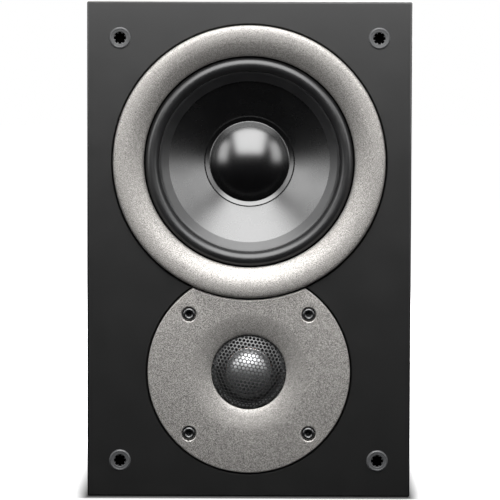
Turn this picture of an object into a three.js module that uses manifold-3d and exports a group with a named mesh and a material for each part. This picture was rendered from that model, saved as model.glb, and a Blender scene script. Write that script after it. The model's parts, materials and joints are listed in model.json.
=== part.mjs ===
// A two-way bookshelf speaker: a woofer above a dome tweeter in a ported wooden cabinet, grille off.
// Millimetres, +Z up, the front faces -Y. The origin is the middle of the cabinet's underside.
import * as THREE from 'three';
import { mergeVertices } from 'three/addons/utils/BufferGeometryUtils.js';
import Module from 'manifold-3d';

const wasm = await Module();
wasm.setup();

// ---------------------------------------------------------------- driving dimensions
const WIDTH = 182;
const HEIGHT = 278.6;
const DEPTH = 230;
const BOARD = 12; // thickness of the sides, top, bottom and back
const BAFFLE = 15; // thickness of the front board
const BACK_INSET = 5; // how far the back board sits inside the cabinet's rear edge
const FIT = 0.05; // gap between glued or clamped faces

const RING_PROUD = 3.6; // how far the woofer's trim ring stands in front of the baffle
const FRONT_Y = -(DEPTH - RING_PROUD) / 2; // the whole object is centred, trim ring included
const REAR_Y = FRONT_Y + DEPTH;
const BACK_Y = REAR_Y - BACK_INSET; // outer face of the back board

const WOOFER_Z = 188.9;
const WOOFER_SUNK = 1.6; // how far the driver sits behind the trim ring's own datum
const WOOFER_REBATE = { radius: 77.2, depth: 5 + WOOFER_SUNK };
const WOOFER_CUTOUT = 60;
const TRIM_RADIUS = 76.5;
const TRIM_OPENING = 59.4;
const WOOFER_SCREW_OFFSET = 47.02; // each way from the woofer's axis

const TWEETER_Z = 70.5;
const FACEPLATE_RADIUS = 57.05;
const FACEPLATE_PROUD = 0.8; // how far the faceplate stands in front of the baffle
const TWEETER_REBATE = { radius: 57.9, depth: 4.3 };
const TWEETER_CUTOUT = 37;
const THROAT_RADIUS = 21; // the mouth that the mesh fills
const TWEETER_SCREW_OFFSET = 33.7; // each way from the middle of the four screws
const TWEETER_SCREW_DROP = 1; // that middle lies this far below the tweeter's axis

const SOCKET_X = 72.6;
const SOCKET_INSET = 20.4; // from the top and bottom edges
const SOCKET_HOLE = 5.3;

const PORT_Z = 206;
const PORT_BORE = 18.5;
const PORT_LENGTH = 90;

const CUP_Z = 75;
const CUP = { plateX: 96, plateZ: 76, openX: 66, openZ: 48, depth: 18, wall: 2, plate: 2.45, corner: 6 };
const CUP_SCREW = { x: 41, z: 31 };
const POST_X = 9.5;

const ROUND = 32; // sides of the large visible rounds
const COARSE = 20; // sides of the hidden rounds and of everything in the magnet gap
const SMALL = 10; // sides of screws and posts

// ---------------------------------------------------------------- materials
const finish = (color, roughness, metalness = 0) =>
  new THREE.MeshStandardMaterial({ color, roughness, metalness });

const FINISH = {
  satinBlack: finish(0x2b2b2c, 0.5),
  vinylBlack: finish(0x1c1b1a, 0.6),
  silverPaint: finish(0x9a9893, 0.45, 0.3),
  socketGrey: finish(0x6d6f70, 0.45),
  rubber: finish(0x232324, 0.55),
  conePoly: finish(0x55565a, 0.3, 0.6),
  capPoly: finish(0x1d1e21, 0.2, 0.4),
  meshBlack: finish(0x121213, 0.35, 0.5),
  domeMetal: finish(0xc8c9cc, 0.2, 1),
  blackSteel: finish(0x161617, 0.45, 0.6),
  zincSteel: finish(0x9d9fa2, 0.35, 1),
  ferrite: finish(0x2c2b2d, 0.8),
  copper: finish(0xb2643a, 0.35, 1),
  polyimide: finish(0x9c5a22, 0.4),
  spiderCloth: finish(0xb98a3a, 0.9),
  foam: finish(0x1f1f1f, 0.95),
  blackPlastic: finish(0x171718, 0.5),
  redPlastic: finish(0xa81c1c, 0.35),
  gold: finish(0xd2a548, 0.25, 1),
  circuitBoard: finish(0x2d5a36, 0.6),
  filmYellow: finish(0xc9a23a, 0.35),
  ceramic: finish(0xd8d4c8, 0.8),
  wireRed: finish(0x9c2a26, 0.5),
  polyester: finish(0xe6e5e0, 1),
};

// ---------------------------------------------------------------- geometry helpers
// Welds vertices and drops collapsed triangles, so that the geometry is one closed surface.
function welded(geometry) {
  const flat = geometry.index ? geometry.toNonIndexed() : geometry;
  const bare = new THREE.BufferGeometry().setAttribute('position', flat.getAttribute('position'));
  const merged = mergeVertices(bare, 1e-4);
  const kept = [];
  const index = merged.index.array;
  for (let i = 0; i < index.length; i += 3) {
    const [a, b, c] = index.slice(i, i + 3);
    if (a !== b && b !== c && c !== a) kept.push(a, b, c);
  }
  return merged.setIndex(kept);
}

function solid(geometry) {
  const { attributes, index } = welded(geometry);
  return new wasm.Manifold(new wasm.Mesh({
    numProp: 3,
    vertProperties: attributes.position.array,
    triVerts: new Uint32Array(index.array),
  }));
}

function geometryOf(made) {
  const mesh = made.getMesh();
  return new THREE.BufferGeometry()
    .setAttribute('position', new THREE.BufferAttribute(mesh.vertProperties, 3))
    .setIndex(new THREE.BufferAttribute(mesh.triVerts, 1));
}

const cut = (body, ...tools) =>
  geometryOf(tools.reduce((left, tool) => left.subtract(solid(tool)), solid(body)));

const join = (first, ...others) =>
  geometryOf(others.reduce((all, next) => all.add(solid(next)), solid(first)));

// Turns an outline of [radius, y] points about the Y axis, whichever way round it was listed.
function turned(outline, sides = COARSE) {
  const points = outline.map(([radius, y]) => new THREE.Vector2(radius, y));
  if (THREE.ShapeUtils.area(points) < 0) points.reverse();
  const endsOnAxis = points[0].x === 0 && points.at(-1).x === 0;
  if (!endsOnAxis) points.push(points[0].clone());
  return welded(new THREE.LatheGeometry(points, sides));
}

// The closed outline of a thin wall whose middle follows a path of [radius, y] points.
function wall(path, thickness) {
  const side = (sign) => path.map(([radius, y], i) => {
    const [r0, y0] = path[Math.max(i - 1, 0)];
    const [r1, y1] = path[Math.min(i + 1, path.length - 1)];
    const reach = (sign * thickness) / 2 / Math.hypot(r1 - r0, y1 - y0);
    return [radius === 0 ? 0 : radius - (y1 - y0) * reach, y + (r1 - r0) * reach];
  });
  return [...side(1), ...side(-1).reverse()];
}

// Points on a circle in the [radius, y] plane, from one angle to another, in degrees.
function arc(centreR, centreY, radius, from, to, steps) {
  return Array.from({ length: steps + 1 }, (_, i) => {
    const angle = THREE.MathUtils.degToRad(from + ((to - from) * i) / steps);
    return [centreR + radius * Math.cos(angle), centreY + radius * Math.sin(angle)];
  });
}

const ring = (inner, outer, y0, y1, sides = COARSE) =>
  turned([[inner, y0], [outer, y0], [outer, y1], [inner, y1]], sides);

const rod = (radius, y0, y1, x = 0, z = 0, sides = SMALL) =>
  turned([[0, y0], [radius, y0], [radius, y1], [0, y1]], sides).translate(x, 0, z);

const block = ([x0, x1], [y0, y1], [z0, z1]) =>
  new THREE.BoxGeometry(x1 - x0, y1 - y0, z1 - z0)
    .translate((x0 + x1) / 2, (y0 + y1) / 2, (z0 + z1) / 2);

// Extrudes an outline of [x, z] points from y0 to y1.
function prism(outline, y0, y1, holes = []) {
  const shape = new THREE.Shape(outline.map(([x, z]) => new THREE.Vector2(x, -z)));
  shape.holes = holes.map((hole) => new THREE.Path(hole.map(([x, z]) => new THREE.Vector2(x, -z))));
  const made = new THREE.ExtrudeGeometry(shape, { depth: y1 - y0, bevelEnabled: false });
  return made.rotateX(-Math.PI / 2).translate(0, y0, 0);
}

// A rounded rectangle of [x, z] points.
function rounded(width, height, radius, steps = 3) {
  const corners = [[1, 1, 0], [-1, 1, 90], [-1, -1, 180], [1, -1, 270]];
  return corners.flatMap(([sx, sz, start]) =>
    arc(sx * (width / 2 - radius), sz * (height / 2 - radius), radius, start, start + 90, steps));
}

// ---------------------------------------------------------------- the assembly
const speaker = new THREE.Group();

function group(x, y, z, parent = speaker) {
  const made = new THREE.Group();
  made.position.set(x, y, z);
  parent.add(made);
  return made;
}

function piece(name, geometry, material, parent = speaker) {
  const mesh = new THREE.Mesh(geometry, material);
  mesh.name = name;
  parent.add(mesh);
  return mesh;
}

// A screw along +Y: the underside of its head is at y 0 and its head stands towards -Y.
function screw({ headRadius, headHeight, shankRadius, length, drive }) {
  const chamfer = headHeight * 0.25;
  const outline = [
    [0, -headHeight],
    [headRadius - chamfer, -headHeight],
    [headRadius, -headHeight + chamfer],
    [headRadius, 0],
    [shankRadius, 0],
    [shankRadius, length - 2.5],
    [0, length],
  ];
  const recess = headHeight * 0.6;
  const body = turned(outline, SMALL);
  if (drive === 'hex') {
    return cut(body, rod(headRadius * 0.48, -headHeight - 1, recess - headHeight, 0, 0, 6));
  }
  const long = headRadius * 0.55;
  const slim = headRadius * 0.14;
  const deep = [-headHeight - 1, recess - headHeight];
  return cut(body, block([-long, long], deep, [-slim, slim]), block([-slim, slim], deep, [-long, long]));
}

// ---------------------------------------------------------------- cabinet
const SOCKETS = [
  ['upper_left', -SOCKET_X, HEIGHT - SOCKET_INSET],
  ['upper_right', SOCKET_X, HEIGHT - SOCKET_INSET],
  ['lower_left', -SOCKET_X, SOCKET_INSET],
  ['lower_right', SOCKET_X, SOCKET_INSET],
];
const DIAGONALS = [
  ['upper_left', -1, 1],
  ['upper_right', 1, 1],
  ['lower_left', -1, -1],
  ['lower_right', 1, -1],
];
const SOCKET_DEPTH = 12;
const PILOT = 1.95; // radius of the pilot holes
const CLEAR = PILOT + 0.1; // radius of the holes that a screw passes through
const HOLE_SIDES = 8;
const SHANK = 1.8; // radius of the drivers' screws
const BLADE = 8; // height of the drivers' push-on terminals

function cabinet() {
  const halfWidth = WIDTH / 2;
  const inside = halfWidth - BOARD;
  const panelY = [FRONT_Y + BAFFLE + FIT, REAR_Y];
  const side = [[-halfWidth, 0], [-inside, BOARD], [-inside, HEIGHT - BOARD], [-halfWidth, HEIGHT]];
  const base = [[-halfWidth, 0], [halfWidth, 0], [inside, BOARD], [-inside, BOARD]];
  const flip = (outline) => outline.map(([x, z]) => [-x, z]);
  const lift = (outline) => outline.map(([x, z]) => [x, HEIGHT - z]);
  // The four wrap boards meet at mitred corners.
  piece('left_side_panel', prism(side, ...panelY), FINISH.vinylBlack);
  piece('right_side_panel', prism(flip(side), ...panelY), FINISH.vinylBlack);
  piece('bottom_panel', prism(base, ...panelY), FINISH.vinylBlack);
  piece('top_panel', prism(lift(base), ...panelY), FINISH.vinylBlack);

  const through = [FRONT_Y - 1, FRONT_Y + BAFFLE + 1];
  const drivers = [
    [WOOFER_Z, WOOFER_REBATE, WOOFER_CUTOUT, WOOFER_SCREW_OFFSET, 0],
    [TWEETER_Z, TWEETER_REBATE, TWEETER_CUTOUT, TWEETER_SCREW_OFFSET, TWEETER_SCREW_DROP],
  ];
  const openings = drivers.flatMap(([z, rebate, cutout]) => [
    rod(rebate.radius, FRONT_Y - 1, FRONT_Y + rebate.depth, 0, z, ROUND),
    rod(cutout, ...through, 0, z, ROUND),
  ]);
  const screwHoles = drivers.flatMap(([z, , , offset, drop]) =>
    DIAGONALS.map(([, sx, sz]) => rod(PILOT, ...through, sx * offset, z - drop + sz * offset, HOLE_SIDES)));
  const sockets = SOCKETS.map(([, x, z]) =>
    rod(SOCKET_HOLE, FRONT_Y - 1, FRONT_Y + SOCKET_DEPTH + 0.6, x, z));
  const face = block([-halfWidth, halfWidth], [FRONT_Y, FRONT_Y + BAFFLE], [0, HEIGHT]);
  piece('front_baffle', cut(face, ...openings, ...sockets, ...screwHoles), FINISH.satinBlack);

  const backY = [BACK_Y - BOARD, BACK_Y];
  const rear = block([-inside + FIT, inside - FIT], backY, [BOARD + FIT, HEIGHT - BOARD - FIT]);
  const rearThrough = [BACK_Y - BOARD - 1, BACK_Y + 1];
  const cupClearance = 2 * CUP.wall + 1;
  const cupOutline = rounded(CUP.openX + cupClearance, CUP.openZ + cupClearance, CUP.corner);
  const cupHole = prism(cupOutline, ...rearThrough).translate(0, 0, CUP_Z);
  const cupScrewHoles = DIAGONALS.map(([, sx, sz]) =>
    rod(PILOT, ...rearThrough, sx * CUP_SCREW.x, CUP_Z + sz * CUP_SCREW.z, HOLE_SIDES));
  const portHole = rod(PORT_BORE + 7, ...rearThrough, 0, PORT_Z, COARSE);
  piece('back_panel', cut(rear, cupHole, portHole, ...cupScrewHoles), FINISH.vinylBlack);
}

// A push-in cup for a grille's peg, with eight ribs that grip it.
function grilleSockets() {
  const flange = { radius: 6.1, proud: 0.9, chamfer: 0.7 };
  const bore = 3.4;
  const floor = SOCKET_DEPTH - 1.2;
  const ribs = { count: 8, tip: 2.7, width: 0.7 };
  const outline = [
    [bore, -flange.proud],
    [flange.radius - flange.chamfer, -flange.proud],
    [flange.radius, flange.chamfer - flange.proud - 0.1],
    [flange.radius, -FIT],
    [SOCKET_HOLE - 0.3, -FIT],
    [SOCKET_HOLE - 0.6, SOCKET_DEPTH],
    [0, SOCKET_DEPTH],
  ];
  const shell = turned([[0, floor], [bore, floor], ...outline], SMALL);
  const rib = block([ribs.tip, bore + 0.3], [0, floor + 0.2], [-ribs.width / 2, ribs.width / 2]);
  const made = join(shell, ...Array.from({ length: ribs.count }, (_, i) =>
    rib.clone().rotateY((2 * Math.PI * (i + 0.5)) / ribs.count)));
  for (const [where, x, z] of SOCKETS) {
    piece(`grille_socket_${where}`, made.clone(), FINISH.socketGrey, group(x, FRONT_Y, z));
  }
}

// A phenolic board with two push-on blades that stand up from it, towards +Y.
function terminalStrip() {
  const blades = [-2.5, 2.5].map((x) => block([x - 1.1, x + 1.1], [0, BLADE], [-0.4, 0.4]));
  return join(block([-9, 9], [-0.7, 0.7], [-4.5, 4.5]), ...blades);
}

// ---------------------------------------------------------------- woofer
// Trim ring: a moulded shell, highest near its outer edge, falling ever more steeply towards the
// surround, with an inner wall that stands beside the surround's roll.
// Depths are measured from the baffle's front face, positive into the cabinet.
function trimRing() {
  const skirt = WOOFER_REBATE.depth - 0.3;
  const front = [
    [TRIM_RADIUS, skirt], [TRIM_RADIUS, -1.9], [75.9, -3], [74.5, -3.46], [72.4, -RING_PROUD],
    [69.8, -3.46], [67.2, -3.08], [64.6, -2.33], [62, -1.2], [60.5, -0.3], [TRIM_OPENING, 0.6],
  ];
  const back = [
    [TRIM_OPENING, 4], [61.2, 4], [61.2, 1.6], [64, -0.3], [67.2, -1.4], [72, -1.9], [74.3, -1.4], [74.3, skirt],
  ];
  const unit = group(0, FRONT_Y, WOOFER_Z);
  piece('woofer_trim_ring', turned([...front, ...back], ROUND), FINISH.silverPaint, unit);
}

function woofer() {
  const unit = group(0, FRONT_Y + WOOFER_SUNK, WOOFER_Z);

  // Basket: pressed steel, six windows, a shelf for the spider and a seat for the magnet.
  const sheet = 1.2;
  const frame = turned(wall([
    [69.3, 4], [58.2, 4], [57.6, 12], [38.5, 35.6], [31.8, 36.2], [31.4, 41.2], [17, 41.3],
  ], sheet), ROUND);
  const window = block([-13, 13], [15, 34], [34, 64]);
  const windowCount = 6;
  const windows = Array.from({ length: windowCount }, (_, i) =>
    window.clone().rotateY((2 * Math.PI * (i + 0.5)) / windowCount));
  const flangeHoles = DIAGONALS.map(([, sx, sz]) =>
    rod(CLEAR, 0, 8, sx * WOOFER_SCREW_OFFSET, sz * WOOFER_SCREW_OFFSET, HOLE_SIDES));
  piece('woofer_basket', cut(frame, ...windows, ...flangeHoles), FINISH.blackSteel, unit);

  const gasket = ring(60.3, 69.2, 4.66, 4.95);
  piece('woofer_gasket', cut(gasket, ...flangeHoles), FINISH.foam, unit);

  // Cone and surround share one slope, so that the surround's lip lies on the cone.
  const slope = 0.54;
  const coneDepth = (radius) => 4 + (50 - radius) * slope;
  const lipDepth = (radius) => coneDepth(radius) - 1.15;
  const roll = arc(54.8, 2.9, 3.7, 180, 360, 5);
  const surround = [[45.6, lipDepth(45.6)], [50.2, lipDepth(50.2)], ...roll, [59.1, 3], [62, 3]];
  piece('woofer_surround', turned(wall(surround, 0.7), ROUND), FINISH.rubber, unit);

  const neck = [13.3, 26.2];
  const cone = [neck, [19, 21.8], [25, coneDepth(25)], [37, coneDepth(37)], [49.4, coneDepth(49.4)]];
  piece('woofer_cone', turned(wall(cone, 0.8), ROUND), FINISH.conePoly, unit);

  // Dust cap: a dome on a shallow skirt that is glued to the cone.
  const domeRadius = 22.4;
  const domeEdge = 42; // slope of the dome's rim, in degrees
  const sphere = domeRadius / Math.sin(THREE.MathUtils.degToRad(domeEdge));
  const rimDepth = coneDepth(domeRadius) - 1.5;
  const dome = arc(0, rimDepth + Math.sqrt(sphere ** 2 - domeRadius ** 2), sphere, -90, domeEdge - 90, 5);
  dome[0][0] = 0;
  const skirt = [[22.9, coneDepth(22.9) - 1.1], [25.2, coneDepth(25.2) - 0.95]];
  piece('woofer_dust_cap', turned(wall([...dome, ...skirt], 0.6)), FINISH.capPoly, unit);

  // Voice coil, spider and magnet. All of them share one number of sides, so the gap stays even.
  const coil = { former: [12.5, 12.8], winding: [12.85, 13.4], from: 39.5, to: 49.5 };
  piece('woofer_coil_former', ring(...coil.former, 24, 51.5), FINISH.polyimide, unit);
  piece('woofer_voice_coil', ring(...coil.winding, coil.from, coil.to), FINISH.copper, unit);

  const waves = Array.from({ length: 7 }, (_, i) => [16.4 + i * 2.4, 35.05 + (i % 2 ? 0.9 : -0.9)]);
  const spider = [[13.2, 35.05], ...waves, [33, 35.05], [36.4, 35.05]];
  piece('woofer_spider', turned(wall(spider, 0.5)), FINISH.spiderCloth, unit);

  const magnet = { plate: [41.95, 46.95], ferrite: [47, 62], back: [62.05, 67] };
  piece('woofer_top_plate', ring(13.9, 38, ...magnet.plate), FINISH.zincSteel, unit);
  piece('woofer_magnet', ring(20, 42, ...magnet.ferrite), FINISH.ferrite, unit);
  const yoke = [
    [4, magnet.plate[0] + 0.4], [12.1, magnet.plate[0] + 0.4], [12.1, magnet.back[0]],
    [38, magnet.back[0]], [38, magnet.back[1] - 1], [37, magnet.back[1]], [4, magnet.back[1]],
  ];
  piece('woofer_pole_yoke', turned(yoke), FINISH.zincSteel, unit);

  // Terminal strip: a phenolic board with two push-on blades, on the basket's lowest spoke.
  const strip = group(0, 24.2, -49.6, unit);
  strip.rotation.x = -Math.atan2(23.6, 19.1); // its board lies along the basket's slope
  piece('woofer_terminal_strip', terminalStrip(), FINISH.gold, strip);

  const flangeFront = 3.4 - FIT;
  const size = { headRadius: 3.1, headHeight: 1.7, shankRadius: SHANK, length: 13 };
  const fastener = screw({ ...size, drive: 'cross' });
  for (const [where, sx, sz] of DIAGONALS) {
    const place = group(sx * WOOFER_SCREW_OFFSET, flangeFront, sz * WOOFER_SCREW_OFFSET, unit);
    piece(`woofer_screw_${where}`, fastener.clone(), FINISH.blackSteel, place);
  }
}

// ---------------------------------------------------------------- tweeter
function tweeter() {
  const unit = group(0, FRONT_Y, TWEETER_Z);
  const front = -FACEPLATE_PROUD;
  const rear = TWEETER_REBATE.depth - FIT;

  // Faceplate: a disc with a flared throat, bitten at the top where the trim ring passes.
  const flare = [
    [33, front], [29, front + 0.25], [26.4, front + 0.65], [23.8, front + 1.3],
    [22, front + 2], [THROAT_RADIUS, front + 3],
  ];
  const plate = turned([
    [FACEPLATE_RADIUS, rear], [FACEPLATE_RADIUS, front + 0.5], [FACEPLATE_RADIUS - 0.5, front],
    ...flare,
    [THROAT_RADIUS, 7.4], [34, 7.4], [35, 6.4], [35, rear],
  ], ROUND);
  const bite = rod(WOOFER_REBATE.radius + 0.4, front - 1, rear + 1, 0, WOOFER_Z - TWEETER_Z, ROUND * 2);
  const boreDepth = front + 3.6;
  const screwPlace = (sx, sz) => [sx * TWEETER_SCREW_OFFSET, sz * TWEETER_SCREW_OFFSET - TWEETER_SCREW_DROP];
  const bores = DIAGONALS.flatMap(([, sx, sz]) => {
    const [x, z] = screwPlace(sx, sz);
    return [rod(4.15, front - 1, boreDepth, x, z), rod(CLEAR, 0, rear + 1, x, z, HOLE_SIDES)];
  });
  piece('tweeter_faceplate', cut(plate, bite, ...bores), FINISH.silverPaint, unit);

  // Mesh guard: a disc pressed into a dome that is nearly flat in the middle and steep at its edge,
  // with a rim that is clamped behind the throat.
  const guard = { radius: 20.4, height: 4.2, edge: 2.6, steepness: 4.6, rim: 7.75 };
  const guardDepth = (share) => guard.edge - guard.height * (1 - share ** guard.steepness);
  const pressed = [0, 0.45, 0.7, 0.85, 0.94, 1].map((share) => [share * guard.radius, guardDepth(share)]);
  const guardPath = [...pressed, [guard.radius, guard.rim], [23.6, guard.rim]];
  piece('tweeter_mesh_guard', turned(wall(guardPath, 0.5)), FINISH.meshBlack, unit);

  // Moving dome with its coil, hung on a soft half-roll.
  const domeRim = 9.6;
  const domeRadius = 12.3;
  const domeHeight = 5.2;
  const film = 0.4;
  const sphere = (domeRadius ** 2 + domeHeight ** 2) / (2 * domeHeight);
  const edge = THREE.MathUtils.radToDeg(Math.asin(domeRadius / sphere));
  const dome = arc(0, domeRim - domeHeight + sphere, sphere, -90, edge - 90, 4);
  dome[0][0] = 0;
  const domePath = [...dome, [12.75, domeRim + 0.2]];
  piece('tweeter_dome', turned(wall(domePath, film)), FINISH.domeMetal, unit);
  const roll = [...arc(15, domeRim + 0.4, 1.7, 180, 360, 4), [18.6, domeRim + 0.5]];
  piece('tweeter_surround', turned(wall(roll, film)), FINISH.rubber, unit);
  piece('tweeter_voice_coil', ring(12.45, 12.95, domeRim + 0.5, 16.4), FINISH.copper, unit);

  // Magnet system.
  const top = [10.5, 14];
  const ferrite = [14.05, 24];
  const back = [24.05, 28];
  const topPlate = turned([
    [13.4, top[0] + 0.4], [16.5, top[0] + 0.4], [16.5, top[0]], [34, top[0]], [34, top[1]], [13.4, top[1]],
  ]);
  piece('tweeter_top_plate', topPlate, FINISH.zincSteel, unit);
  piece('tweeter_magnet', ring(17, 35, ...ferrite), FINISH.ferrite, unit);
  const yoke = [
    [0, top[0] + 0.6], [11.9, top[0] + 0.6], [11.9, back[0]],
    [34, back[0]], [34, back[1] - 1], [33, back[1]], [0, back[1]],
  ];
  piece('tweeter_pole_yoke', turned(yoke), FINISH.zincSteel, unit);
  piece('tweeter_terminal_strip', terminalStrip(), FINISH.gold, group(0, back[1] + 0.8, 0, unit));

  const size = { headRadius: 3.5, headHeight: 3, shankRadius: SHANK, length: 13 };
  const fastener = screw({ ...size, drive: 'hex' });
  for (const [where, sx, sz] of DIAGONALS) {
    const [x, z] = screwPlace(sx, sz);
    piece(`tweeter_screw_${where}`, fastener.clone(), FINISH.blackSteel, group(x, boreDepth - FIT, z, unit));
  }
}

// ---------------------------------------------------------------- rear
// Reflex port: a tube with a flared mouth and a flange on the back board.
function port() {
  const face = BACK_Y + CUP.plate;
  const inner = face - PORT_LENGTH;
  const tube = turned([
    [PORT_BORE, inner], [PORT_BORE, face - 12], [PORT_BORE + 0.9, face - 7], [PORT_BORE + 2.9, face - 3.2],
    [PORT_BORE + 7, face - 0.4], [PORT_BORE + 9.3, face], [PORT_BORE + 11, face - 0.8],
    [PORT_BORE + 11, BACK_Y + FIT], [PORT_BORE + 6.6, BACK_Y + FIT], [PORT_BORE + 6.6, BACK_Y - 1.5],
    [PORT_BORE + 2, BACK_Y - 9], [PORT_BORE + 2, inner],
  ]);
  piece('port_tube', tube, FINISH.blackPlastic, group(0, 0, PORT_Z));
}

function terminals() {
  const unit = group(0, 0, CUP_Z);
  const plateY = [BACK_Y + FIT, BACK_Y + CUP.plate];
  const floorY = plateY[1] - CUP.depth;
  const plate = prism(rounded(CUP.plateX, CUP.plateZ, 7), ...plateY);
  const tubOutline = rounded(CUP.openX + 2 * CUP.wall, CUP.openZ + 2 * CUP.wall, CUP.corner);
  const shell = join(plate, prism(tubOutline, floorY - CUP.wall, plateY[1]));
  const recess = prism(rounded(CUP.openX, CUP.openZ, CUP.corner - CUP.wall), floorY, plateY[1] + 1);
  const studHoles = [-POST_X, POST_X].map((x) => rod(2.6, floorY - CUP.wall - 1, floorY + 1, x));
  const screwHoles = DIAGONALS.map(([, sx, sz]) =>
    rod(CLEAR, plateY[0] - 1, plateY[1] + 1, sx * CUP_SCREW.x, sz * CUP_SCREW.z, HOLE_SIDES));
  piece('terminal_cup', cut(shell, recess, ...studHoles, ...screwHoles), FINISH.blackPlastic, unit);

  const size = { headRadius: 3.2, headHeight: 1.9, shankRadius: 1.7, length: 12 };
  const fastener = screw({ ...size, drive: 'cross' });
  for (const [where, sx, sz] of DIAGONALS) {
    const place = group(sx * CUP_SCREW.x, plateY[1] + FIT, sz * CUP_SCREW.z, unit);
    place.rotation.x = Math.PI; // the head faces the rear
    piece(`terminal_cup_screw_${where}`, fastener.clone(), FINISH.blackSteel, place);
  }

  // Binding posts. Each is a fixed stud, a loose clamp washer and a knob that screws out.
  const stud = { radius: 3.2, bore: 2.05, length: 16, tail: 2.2 };
  const flange = { radius: 5.8, thickness: 1.9 };
  const washer = { radius: 5.6, thickness: 1.2 };
  const knob = { outer: 6.2, bore: 3.5, length: 17, flutes: 12, fluteDepth: 0.5 };
  const tailEnd = floorY - 9;
  const base = floorY + FIT + flange.thickness;
  const top = base + stud.length;
  const studBody = turned([
    [0, tailEnd], [stud.tail, tailEnd], [stud.tail, floorY + FIT], [flange.radius, floorY + FIT],
    [flange.radius, base], [stud.radius, base], [stud.radius, top], [stud.bore, top],
    [stud.bore, base + 4], [0, base + 4],
  ], SMALL);
  const wireHole = new THREE.CylinderGeometry(1.1, 1.1, 9, HOLE_SIDES)
    .rotateX(Math.PI / 2)
    .translate(0, base + 2.3, 0);
  const washerBody = ring(knob.bore, washer.radius, base + FIT, base + FIT + washer.thickness, SMALL);
  const knobStart = base + washer.thickness + 2 * FIT;
  const outline = Array.from({ length: knob.flutes * 2 }, (_, i) => {
    const angle = (Math.PI * i) / knob.flutes;
    const radius = knob.outer - (i % 2 ? knob.fluteDepth : 0);
    return [radius * Math.cos(angle), radius * Math.sin(angle)];
  });
  const grip = prism(outline, knobStart, knobStart + knob.length);
  const knobBody = cut(
    grip,
    rod(knob.bore, knobStart - 1, knobStart + knob.length - 2),
    rod(stud.bore + 0.3, knobStart, knobStart + knob.length + 1),
  );
  const posts = [
    ['red', POST_X, FINISH.redPlastic],
    ['black', -POST_X, FINISH.blackPlastic],
  ];
  for (const [colour, x, material] of posts) {
    const post = group(x, 0, 0, unit);
    piece(`${colour}_post_stud`, cut(studBody, wireHole), FINISH.gold, post);
    piece(`${colour}_post_washer`, washerBody.clone(), FINISH.gold, post);
    piece(`${colour}_post_knob`, knobBody.clone(), material, post);
  }
  crossover(unit, floorY - CUP.wall);
}

// Crossover: its board stands against the back of the terminal cup, on the posts' tails.
function crossover(parent, cupBack) {
  const board = { width: 92, height: 64, thickness: 1.6 };
  const rear = cupBack - 0.4;
  const face = rear - board.thickness;
  const unit = group(0, face, 0, parent);
  const sheet = block(
    [-board.width / 2, board.width / 2], [0, board.thickness], [-board.height / 2, board.height / 2]);
  const tailHoles = [-POST_X, POST_X].map((x) => rod(2.4, -1, board.thickness + 1, x));
  piece('crossover_board', cut(sheet, ...tailHoles), FINISH.circuitBoard, unit);

  const winding = (inner, outer, height) => ring(inner, outer, -FIT - height, -FIT);
  piece('woofer_inductor', winding(6, 16.5, 16), FINISH.copper, group(-27, 0, 14, unit));
  piece('tweeter_inductor', winding(4, 11.5, 11), FINISH.copper, group(29, 0, 18, unit));

  const barrel = { radius: 7.5, length: 30 };
  const capacitor = new THREE.CylinderGeometry(barrel.radius, barrel.radius, barrel.length, SMALL)
    .rotateZ(Math.PI / 2)
    .translate(0, -barrel.radius - FIT, 0);
  piece('tweeter_capacitor', capacitor, FINISH.filmYellow, group(28, 0, -14, unit));
  const resistor = block([-14, 14], [-9 - FIT, -FIT], [-4.5, 4.5]);
  piece('tweeter_resistor', resistor, FINISH.ceramic, group(-27, 0, -18, unit));
}

// ---------------------------------------------------------------- inside the cabinet
// Twin leads: two cores side by side, from the crossover board to each driver's terminal strip.
function leads() {
  const core = 1.1; // radius of one insulated core
  const outline = [
    ...arc(core, 0, core, -120, 120, 4),
    ...arc(-core, 0, core, 60, 300, 4),
  ];
  const section = new THREE.Shape(outline.map(([a, b]) => new THREE.Vector2(b, a)));
  const along = (points, steps) => new THREE.ExtrudeGeometry(section, {
    steps,
    extrudePath: new THREE.CatmullRomCurve3(points.map((p) => new THREE.Vector3(...p))),
  });
  const toWoofer = [
    [-1, 91.6, 100], [-1, 84, 100], [-10, 60, 92], [-22, 24, 66], [-20, -14, 54], [-12, -44, 68],
    [-4, -62, 94.6], [0, -72.7, 120.5], [0, -82.2, 132.5],
  ];
  const toTweeter = [
    [2, 91.6, 50], [2, 84, 50], [18, 56, 30], [28, 14, 18], [24, -26, 22], [12, -48, 44.3],
    [0, -64, 70.5], [0, -76.1, 70.5],
  ];
  piece('woofer_lead', along(toWoofer, 14), FINISH.wireRed);
  piece('tweeter_lead', along(toTweeter, 14), FINISH.wireRed);
}

// Acoustic wadding, glued under the top board behind the woofer.
function wadding() {
  const thickness = 24;
  const top = HEIGHT - BOARD - FIT;
  piece('acoustic_wadding', block([-74, 74], [-62, 84], [top - thickness, top]), FINISH.polyester);
}

cabinet();
grilleSockets();
trimRing();
woofer();
tweeter();
port();
terminals();
leads();
wadding();

export default speaker;
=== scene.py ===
import json
import math

import bmesh
import bpy
from mathutils import Matrix, Vector, noise


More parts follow.
